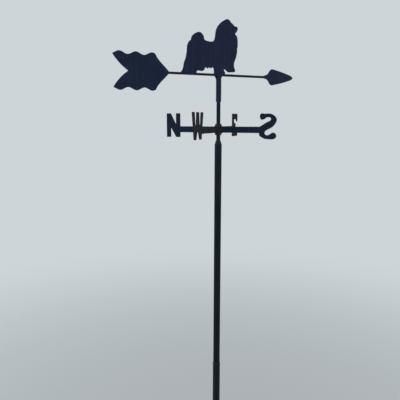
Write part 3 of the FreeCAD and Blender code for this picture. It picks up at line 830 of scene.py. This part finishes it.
def paint(name, rgb, dust=0.06, rust=0.3, reflection_share=0.0, reflected_to=1.0, matt=0.33, soil=False, rubbed=None,
          bared=0.6, sky_reflection=None, primer=None):
    """Satin powder paint: a mottled colour under dust, rain streaks, fine scratches and bare spots.

    Dust lies where the surface faces up, in the streaks and in specks. Edges that the mesh marks as
    worn are rubbed paler and show rust in spots. A browner tone laid in patches, out to a distance
    from the axis, is painted reflection of the brown ground and house. Soil rises from the spike to
    the step. A rubbed band is scored down to the steel. A paler, bluer colour between two heights is
    painted sky reflection. Where the mesh marks it, the tone is made darker toward a given colour.
    """
    dark, light, fleck_cover, fleck_light = 0.82, 1.18, 0.35, 1.5
    tilted, level, thin_dust, settled_dust, streak_dust, speck_dust = 0.25, 0.95, 0.25, 4, 0.8, 1.6
    scratch_cover, scratch_light, worn_cover, worn_light, core_share = 0.1, 0.5, 0.1, 0.25, 0.4
    least_sheen, most_sheen, dust_rough, band_light = 0.88, 1.12, 0.8, 0.4
    skin_detail, skin_strength, fine_strength = 1.5, 0.8, 0.5
    grit_scale, grit_detail, grit_share = 2300, 2, 0.15
    looks = bpy.context.scene.weathervane_paint
    coat = Finish(name)
    coat.tone = coat.blend(coat.pattern("mottle"), shade(rgb, dark), shade(rgb, light))
    coat.lay(coat.times(coat.pattern("fleck"), fleck_cover), rgb, fleck_light)
    height = coat.upward(coat.place)
    # Painted sky reflection: the tone turns paler and bluer between two heights
    if sky_reflection:
        sky_tone, low, high = sky_reflection
        coat.lay(coat.ramp(height, low, high), sky_tone)
    # The tone is made darker toward a given colour where the mesh marks it
    if primer:
        coat.lay(coat.marked("rod_darkened"), primer)

    facing = coat.upward(coat.add("NewGeometry", {})["Normal"])
    settled = coat.times(coat.ramp(facing, tilted, level), coat.pattern("dust", thin_dust))
    film = coat.times(settled, dust * settled_dust)
    for pattern, strength in (("streak", streak_dust), ("speck", speck_dust)):
        film = coat.math("ADD", film, coat.times(coat.pattern(pattern), dust * strength), clamp=True)
    coat.lay(film, looks.dust)

    scored = coat.times(coat.times(coat.pattern("scratch"), coat.pattern("scratch_gap")), scratch_cover)
    coat.lay(scored, looks.steel, scratch_light)
    worn = coat.marked("wear")
    coat.lay(coat.times(worn, worn_cover), looks.steel, worn_light)
    # Painted reflection of the brown ground and house: browner patches out to a distance from the axis
    if reflection_share:
        near = coat.ramp(coat.from_axis(), reflected_to, reflected_to * core_share)
        coat.lay(coat.times(coat.pattern("stain"), coat.times(near, reflection_share)), looks.stain)
    coat.lay(coat.times(coat.times(worn, coat.pattern("chip")), rust), looks.rust)

    rough = coat.between(film, coat.pattern("sheen", matt * least_sheen, matt * most_sheen), dust_rough)
    if soil:
        rough = coat.soiled(rough, looks.soil)
    if rubbed:
        middle, spread = rubbed
        away = coat.math("ABSOLUTE", coat.math("SUBTRACT", height, middle))
        band = coat.times(coat.ramp(away, spread, spread * core_share), coat.pattern("rub"))
        coat.lay(coat.times(band, bared), looks.steel, band_light)

    peel = looks.peel_height
    normal = coat.bump(coat.noise(1 / looks.peel_spacing, skin_detail), peel, skin_strength)
    normal = coat.bump(coat.noise(grit_scale, grit_detail), peel * grit_share, fine_strength, normal)
    normal = coat.bump(scored, peel, fine_strength, normal, invert=True)
    coat.feed(coat.shader, {"Base Color": coat.tone, "Roughness": rough, "Normal": normal,
                            "Specular IOR Level": PAINT_GLOSS})
    return coat.material


def bare_metal(name, rgb, roughness, grain, tarnish):
    """Bare metal: tool marks drawn out along an axis, and tarnish in soft patches."""
    mark_detail, mark_depth, mark_strength, dark, light, tarnish_light = 3, 0.01 * MM, 0.6, 0.8, 1.1, 0.8
    low, high, rough_low, rough_high, smoother, rougher = 0.3, 0.7, 0.25, 0.75, 0.8, 1.2
    coat = Finish(name)
    marks = coat.noise(1, mark_detail, grain)
    coat.tone = coat.blend(coat.ramp(marks, low, high), shade(rgb, dark), shade(rgb, light))
    rust = bpy.context.scene.weathervane_paint.rust
    coat.lay(coat.times(coat.pattern("tarnish"), tarnish), rust, tarnish_light)
    rough = coat.ramp(marks, rough_low, rough_high, roughness * smoother, roughness * rougher)
    coat.feed(coat.shader, {"Base Color": coat.tone, "Roughness": rough, "Metallic": 1.0,
                            "Normal": coat.bump(marks, mark_depth, mark_strength)})
    return coat.material


def finish_of(slot):
    """Material of one of the record's slots, made the first time that it is asked for."""
    made = bpy.data.materials.get(slot + "_finish")
    if made:
        return made
    looks = bpy.context.scene.weathervane_paint
    sleeve_low = turned_sizes("pivot_sleeve")[2]
    tube_top = turned_sizes("ground_tube")[3]
    mast_top = turned_sizes("mast_tube")[3]
    paints = {
        # Vane paint, made darker where a mesh marks it, as the arrow rod does
        "vane_paint": dict(rgb=looks.vane, primer=looks.primer),
        # Hub browner near the axis: painted reflection of the brown ground and house
        "cross_paint": dict(rgb=looks.cross, dust=0.05, reflection_share=0.36, reflected_to=24 * MM),
        # East and west arms: a browner copy of the cross paint, painted reflection of the ground
        "cross_paint_dusty": dict(rgb=looks.cross_reflecting, dust=0.05, rust=0.6, reflection_share=0.3, matt=0.85),
        # Mast paler and bluer toward its top: painted sky reflection
        "mast_paint": dict(rgb=looks.mast, rubbed=(tube_top, 3 * MM), bared=0.2,
                           sky_reflection=(looks.mast_top, mast_top - 150 * MM, mast_top)),
        "rod_paint": dict(rgb=looks.rod, rubbed=(sleeve_low, 2.2 * MM)),
        "stake_paint": dict(rgb=looks.stake, dust=0.08, rust=0.8, soil=True),
    }
    if slot in paints:
        return paint(slot, **paints[slot])
    metals = {
        "weld_steel": dict(rgb=looks.steel, roughness=0.5, grain=(700, 700, 700), tarnish=0.5),
        "bare_steel": dict(rgb=looks.steel, roughness=0.38, grain=(250, 250, 3500), tarnish=0.35),
        "screw_steel": dict(rgb=looks.dull_zinc, roughness=0.45, grain=(900, 900, 900), tarnish=0.25),
        "ball_steel": dict(rgb=looks.zinc, roughness=0.1, grain=(300, 300, 300), tarnish=0.0),
    }
    return bare_metal(slot, **metals[slot])


# Operators

END_CENTRE = 0.2         # radius of the cap in a bar's end, as a share of the end's


class Dresser:
    """What every operator here has in common."""

    bl_options = {"REGISTER"}

    def execute(self, context):
        """Runs the operator's own work."""
        self.dress(context.scene)
        return {"FINISHED"}


class WEATHERVANE_OT_stage(Dresser, bpy.types.Operator):
    """Floor, backdrop, lamps and camera"""

    bl_idname = "weathervane.stage"
    bl_label = "Set the Stage"

    def dress(self, scene):
        """Builds the floor disc, the world, two lamps and the camera."""
        looks = scene.weathervane_stage
        self.floor(looks)
        self.sky(scene, looks)
        for name, offset, side, power, tint in (
                ("key_lamp", (-1.9, -2.3, 1.9), 2.6, looks.key_power, (0.93, 0.97, 1.0)),
                ("fill_lamp", (2.6, 0.9, 1.0), 2.2, looks.fill_power, (1.0, 0.97, 0.93))):
            self.lamp(name, offset, side, power, tint)
        lens = bpy.data.cameras.new("camera")
        lens.lens = looks.camera_lens
        lens.sensor_width = 36
        scene.camera = put_in("camera", lens)
        scene.camera.location = looks.camera_place
        scene.camera.rotation_euler = looks.camera_turn
        scene.view_settings.view_transform = "Standard"

    def lamp(self, name, offset, side, power, tint):
        """Large square lamp at an offset from the hub, which it aims at."""
        light = bpy.data.lights.new(name, "AREA")
        light.size = side
        light.energy = power
        light.color = tint
        lamp = put_in(name, light)
        lamp.location = Vector(offset) + Vector((0, 0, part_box("hub_collar")[0].z))
        lamp.rotation_euler = (-Vector(offset)).to_track_quat("-Z", "Y").to_euler()

    def sky(self, scene, looks):
        """Even light from all round, and the backdrop's colour for what the camera sees."""
        tint = (0.96, 0.98, 1.0, 1.0)
        scene.world = bpy.data.worlds.new("sky")
        nodes = Nodes(scene.world)
        light = nodes.add("Background", {"Color": tint, "Strength": looks.sky_strength})
        pale = nodes.add("Background", {"Color": shade(looks.backdrop)})
        mixed = nodes.add("MixShader", {0: nodes.seen(), 1: light[0], 2: pale[0]})
        nodes.add("OutputWorld", {"Surface": mixed[0]})

    def floor(self, looks):
        """Disc of rings just under the spike's tip, matt near the pole and fading into the backdrop."""
        reach, centre_share, rows, sides = 40, 0.002, 24, 96
        matt, fade_from, fade_to = 0.9, 0.5, 3.8
        rings = reach * np.linspace(centre_share, 1, rows)[::-1] ** 2
        disc = spun(rings + 1j * (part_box("ground_spike")[0].z - looks.floor_gap), sides)
        index = np.arange(rows * sides).reshape(rows, sides)
        mesh = bpy.data.meshes.new("floor")
        mesh.from_pydata(disc.reshape(-1, 3), [], quads_of(index).tolist() + [index[-1].tolist()])
        finish = Finish("floor")
        finish.feed(finish.shader, {"Base Color": shade(looks.floor), "Roughness": matt,
                                    "Specular IOR Level": PAINT_GLOSS})
        far = finish.ramp(finish.from_axis(), fade_from, fade_to, kind="SMOOTHSTEP")
        glow = finish.add("Emission", {"Color": shade(looks.backdrop)})
        mixed = finish.add("MixShader", {0: finish.times(far, finish.seen()), 2: glow[0],
                                         1: finish.shader.outputs["BSDF"]})
        finish.feed(finish.output, {"Surface": mixed[0]})
        mesh.materials.append(finish.material)
        put_in("floor", mesh)


class WEATHERVANE_OT_cut_plates(Dresser, bpy.types.Operator):
    """Dog, tail, arrow head and the four lettered arms, cut from plate"""

    bl_idname = "weathervane.cut_plates"
    bl_label = "Cut the Plates"

    def dress(self, scene):
        """Cuts each plate along its outline in the frame."""
        sizes = scene.weathervane_edges
        for node, name, slot, body in (
                ("dog_plate", "dog_cutout", "vane_paint", "vane"),
                ("tail_plate", "tail_fletching", "vane_paint", "vane"),
                ("arrow_head", "arrow_point", "vane_paint", "vane"),
                ("north_arm", "north_letter_bar", "cross_paint", "directionals"),
                # The east and west arms take the browner copy: painted reflection of the brown ground
                ("east_arm", "east_letter_bar", "cross_paint_dusty", "directionals"),
                ("south_arm", "south_letter_bar", "cross_paint", "directionals"),
                ("west_arm", "west_letter_bar", "cross_paint_dusty", "directionals")):
            make_piece(name, [cut_plate(node, sizes)], slot, body, node)


class WEATHERVANE_OT_tubes(Dresser, bpy.types.Operator):
    """Ground tube, mast with its swaged end, and pivot sleeve"""

    bl_idname = "weathervane.tubes"
    bl_label = "Draw the Tubes"

    def dress(self, scene):
        """Turns each tube's wall on the mast's axis, with the sizes that the frame holds."""
        rim_cut, half_band, taper, taper_rounding, swage_steps = 0.3 * MM, 12 * MM, 1.1 * MM, 2.5, 9
        sizes = scene.weathervane_edges
        sides, lip, swage = sizes.round_sides, sizes.lip_radius, sizes.swage_radius
        pin = level_bar("mast_stop_pin")
        band = (pin[0] - half_band, pin[0] + half_band)
        tube = bored_tube("ground_tube", band, rim_cut, pin, (0, np.pi), sizes)
        make_piece("lower_pole", tube, "stake_paint", "stake", "ground_tube")

        outer, mouth_bore, low, high = turned_sizes("mast_tube")
        radii, heights = turned_corners("mast_tube")
        bore = radii[heights < low + MM].min()
        mouth = radii[heights > high - MM / 10].max()
        cone_low = heights[radii > (outer + bore) / 2].max()
        land_low = heights[radii < mouth_bore + MM / 50].min()
        profile = [(outer, low), (outer, cone_low), (mouth, high), (mouth_bore, high),
                   (mouth_bore, land_low), (bore, cone_low), (bore, low)]
        mast = softened(profile, [lip, swage, lip, lip / 2, 2 * lip, swage, lip], steps=swage_steps)
        make_piece("upper_pole", [surface(spun(mast, sides), ring=True)], "mast_paint", "mast", "mast_tube")

        outer, bore, low, high = turned_sizes("pivot_sleeve")
        profile = [(outer, high), (bore, high), (bore, low), (outer - taper, low), (outer, low + taper)]
        sleeve = softened(profile, [lip, lip / 2, lip / 2, lip / 2, taper_rounding * lip])
        sleeve = surface(spun(sleeve, sides), ring=True)
        make_piece("sleeve", [sleeve], "vane_paint", "vane", "pivot_sleeve")


class WEATHERVANE_OT_bars(Dresser, bpy.types.Operator):
    """Spike, spindle, arrow shaft and cross pin, turned from solid bar"""

    bl_idname = "weathervane.bars"
    bl_label = "Turn the Bars"

    def dress(self, scene):
        """Turns each bar from its profile, and lays the level ones along their direction."""
        pin_rounding, rod_darkened_share = 0.6 * MM, 0.9
        sizes = scene.weathervane_edges
        self.spike(sizes)
        outer, _, low, high = turned_sizes("spindle_rod")
        rod = self.bar(outer, low, high, sizes.lip_radius, sizes.round_sides, sizes.bevel)
        make_piece("spindle", [rod], "rod_paint", "mast", "spindle_rod")

        shaft = self.level("arrow_shaft", vane_directions()[0], sizes.lip_radius, sizes)
        rod = make_piece("arrow_rod", [shaft], "vane_paint", "vane", "arrow_shaft")
        # Marks the whole arrow rod, whose paint is made darker than the other vane parts
        rod_darkened = rod.data.attributes.new("rod_darkened", "FLOAT", "POINT")
        rod_darkened.data.foreach_set("value", np.full(len(rod.data.vertices), rod_darkened_share))

        pin = self.level("mast_stop_pin", np.array([1.0, 0.0, 0.0]), pin_rounding, sizes)
        make_piece("cross_pin", [pin], "bare_steel", "stake", "mast_stop_pin")

    def bar(self, radius, low, high, rounding, sides, cut):
        """Solid bar on the upright axis with cut and rounded ends."""
        centre = radius * END_CENTRE
        profile = [(centre, low), (radius - cut, low), (radius, low + cut), (radius, high - cut),
                   (radius - cut, high), (centre, high)]
        return surface(spun(softened(profile, rounding, closed=False), sides), caps=True)

    def level(self, node, direction, rounding, sizes):
        """Solid bar in the place of a node that lies level along a direction."""
        height, radius = level_bar(node)
        bar = self.bar(radius, *extent(node, direction), rounding, sizes.round_sides // 2, sizes.bevel)
        bar["points"] = laid(bar["points"], direction, UP * height)
        return bar

    def spike(self, sizes):
        """Pointed spike with its shoulder under the step and its spigot through it.

        The point keeps the hammer's faint flats: cosines of the angle times a count, turned on by a
        shift along the point, shrink the radius, most in the point's middle.
        """
        cone_from, cone_to, cone_steps, point_rounding, edge_share = 0.06, 0.86, 18, 6 * MM, 0.3
        flat_depth, least_flat, flats = 0.016, 1.6, ((1, 4, 9), (0.6, 7, -5))
        outer, _, low, high = turned_sizes("ground_spike")
        radii, heights = turned_corners("ground_spike")
        tip = radii[heights < low + MM].max()
        spigot = radii[heights > high - MM].max()
        full = heights[radii > outer - MM / 10]
        shoulder, point_top = full.max(), full.min()
        taper = np.linspace(cone_from, cone_to, cone_steps)[:, None]
        cone = (tip, low) + np.array([outer - tip, point_top - low]) * taper
        lip = sizes.lip_radius
        lower = softened([(tip * END_CENTRE, low), (tip, low), cone[0]], tip / 2, closed=False)[:-1]
        upper = softened([cone[-1], (outer, point_top), (outer, shoulder), (spigot, shoulder),
                          (spigot, high), (spigot * END_CENTRE, high)],
                         [lip, point_rounding, lip * 2, lip * edge_share, lip * 2, lip], closed=False)
        profile = np.concatenate([lower, cone[:-1] @ (1, 1j), upper])
        share_of = np.clip((profile.imag[:, None] - low) / (point_top - low), 0, 1)
        angle = around(sizes.round_sides)
        flat = least_flat + sum(depth * np.cos(count * angle + shift * share_of)
                                for depth, count, shift in flats)
        bar = spun(profile, sizes.round_sides)
        bar[..., :2] *= (1 - flat_depth * np.sin(np.pi * share_of) * flat)[..., None]
        make_piece("spike", [surface(bar, caps=True)], "stake_paint", "stake", "ground_spike")


class WEATHERVANE_OT_foot_step(Dresser, bpy.types.Operator):
    """Plate that a foot presses on"""

    bl_idname = "weathervane.foot_step"
    bl_label = "Make the Foot Step"

    def dress(self, scene):
        """Makes the step plate."""
        step = step_surface(scene.weathervane_edges)
        make_piece("step_plate", [step], "stake_paint", "stake", "foot_step")


class WEATHERVANE_OT_hub(Dresser, bpy.types.Operator):
    """Hub collar with its threaded hole, and the set screw in it"""

    bl_idname = "weathervane.hub"
    bl_label = "Make the Hub"

    def dress(self, scene):
        """Bores the collar where the frame has the screw, and turns the screw."""
        clearance, margin = 0.05 * MM, 0.3 * MM
        edges, sizes = scene.weathervane_edges, scene.weathervane_screw
        joint = next(each for each in frame["joints"] if each["name"] == "set_screw_out")
        axis = unit(np.array(joint["axis"], float))
        height, radius = level_bar("set_screw")
        _, _, low, high = turned_sizes("hub_collar")
        band = (low + edges.bevel + margin, high - edges.bevel - margin)
        collar = bored_tube("hub_collar", band, edges.bevel, (height, radius + clearance),
                            (np.arctan2(axis[1], axis[0]),), edges, sizes.pitch, sizes.depth)
        make_piece("hub", collar, "cross_paint", "directionals", "hub_collar")

        start, end = extent("set_screw", axis)
        points = laid(screw_surface(end - start, radius, sizes), axis, axis * start + UP * height)
        make_piece("socket_screw", [surface(points, caps=True)], "screw_steel", "set_screw", "set_screw")


class WEATHERVANE_OT_welds(Dresser, bpy.types.Operator):
    """All the weld beads"""

    bl_idname = "weathervane.welds"
    bl_label = "Lay the Welds"

    def dress(self, scene):
        """Lays the beads round the mast, round the arms, under the sleeve's shaft and behind the plates."""
        arm_seed, corner_seed, lap_seed = 0.37, 0.2, 0.3
        sizes = scene.weathervane_welds
        for name, node, slot, body in (("spike_bead", "spike_weld", "weld_steel", "stake"),
                                       ("pole_bead", "tube_weld", "stake_paint", "stake"),
                                       ("mouth_bead", "rod_weld", "mast_paint", "mast")):
            make_piece(name, [ring_bead(node, sizes, len(name))], slot, body, node)
        arms = [arm_bead(arm, sizes, arm_seed * number) for number, arm in enumerate(ARMS)]
        make_piece("arm_beads", arms, "cross_paint", "directionals", "arm_welds")
        corners = [corner_bead(side, sizes, corner_seed * side) for side in (-1, 1)]
        make_piece("sleeve_beads", corners, "vane_paint", "vane", "sleeve_weld")
        for part, sides in (("dog", (1,)), ("tail", (1, -1)), ("head", (1, -1))):
            laps = [lap_bead(start, end, side, sizes, lap_seed * side + start)
                    for start, end in self.stretches(part + "_welds") for side in sides]
            make_piece(part + "_beads", laps, "vane_paint", "vane", part + "_welds")

    def stretches(self, node):
        """Start and end along the arrow of each of a node's beads, whose corners lie only at the two."""
        digits = 5
        places = np.round(corners_of(node) @ vane_directions()[0], digits)
        return np.unique(places).reshape(-1, 2)


class WEATHERVANE_OT_bearing(Dresser, bpy.types.Operator):
    """Finishes of the ball and the plug inside the sleeve, whose shapes come from the frame"""

    bl_idname = "weathervane.bearing"
    bl_label = "Finish the Bearing"

    def dress(self, scene):
        """Gives both nodes their metal."""
        for node, slot in (("bearing_ball", "ball_steel"), ("sleeve_plug", "bare_steel")):
            materials = frame["nodes"][node].data.materials
            materials.clear()
            materials.append(finish_of(slot))


class WEATHERVANE_PT_panel(bpy.types.Panel):
    """Sidebar panel with the sizes, the colours and the steps"""

    bl_idname = "WEATHERVANE_PT_panel"
    bl_label = "Weathervane"
    bl_space_type = "VIEW_3D"
    bl_region_type = "UI"
    bl_category = "Weathervane"

    def draw(self, context):
        """Lists each group's values and each operator."""
        for label, group in GROUPS.items():
            box = self.layout.box()
            box.label(text=label.replace("_", " ").title())
            values = getattr(context.scene, label)
            for name in group.__annotations__:
                box.prop(values, name)
        for operator in OPERATORS:
            self.layout.operator(operator.bl_idname)


GROUPS = {
    "weathervane_edges": EdgeSizes,
    "weathervane_welds": WeldSizes,
    "weathervane_screw": ScrewSizes,
    "weathervane_paint": PaintLooks,
    "weathervane_stage": StageLooks,
}
OPERATORS = (
    WEATHERVANE_OT_stage, WEATHERVANE_OT_cut_plates, WEATHERVANE_OT_tubes, WEATHERVANE_OT_bars,
    WEATHERVANE_OT_foot_step, WEATHERVANE_OT_hub, WEATHERVANE_OT_welds, WEATHERVANE_OT_bearing,
)


def register():
    """Registers the classes and hangs the property groups on the scene."""
    for label, group in GROUPS.items():
        bpy.utils.register_class(group)
        setattr(bpy.types.Scene, label, PointerProperty(type=group))
    for each in OPERATORS + (WEATHERVANE_PT_panel,):
        bpy.utils.register_class(each)


def unregister():
    """Takes back what register did."""
    for each in reversed(OPERATORS + (WEATHERVANE_PT_panel,)):
        bpy.utils.unregister_class(each)
    for label, group in GROUPS.items():
        delattr(bpy.types.Scene, label)
        bpy.utils.unregister_class(group)


def main():
    """Sets the stage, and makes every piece."""
    register()
    bpy.ops.weathervane.stage()
    bpy.ops.weathervane.cut_plates()
    bpy.ops.weathervane.tubes()
    bpy.ops.weathervane.bars()
    bpy.ops.weathervane.foot_step()
    bpy.ops.weathervane.hub()
    bpy.ops.weathervane.welds()
    bpy.ops.weathervane.bearing()


if __name__ == "__main__":
    main()
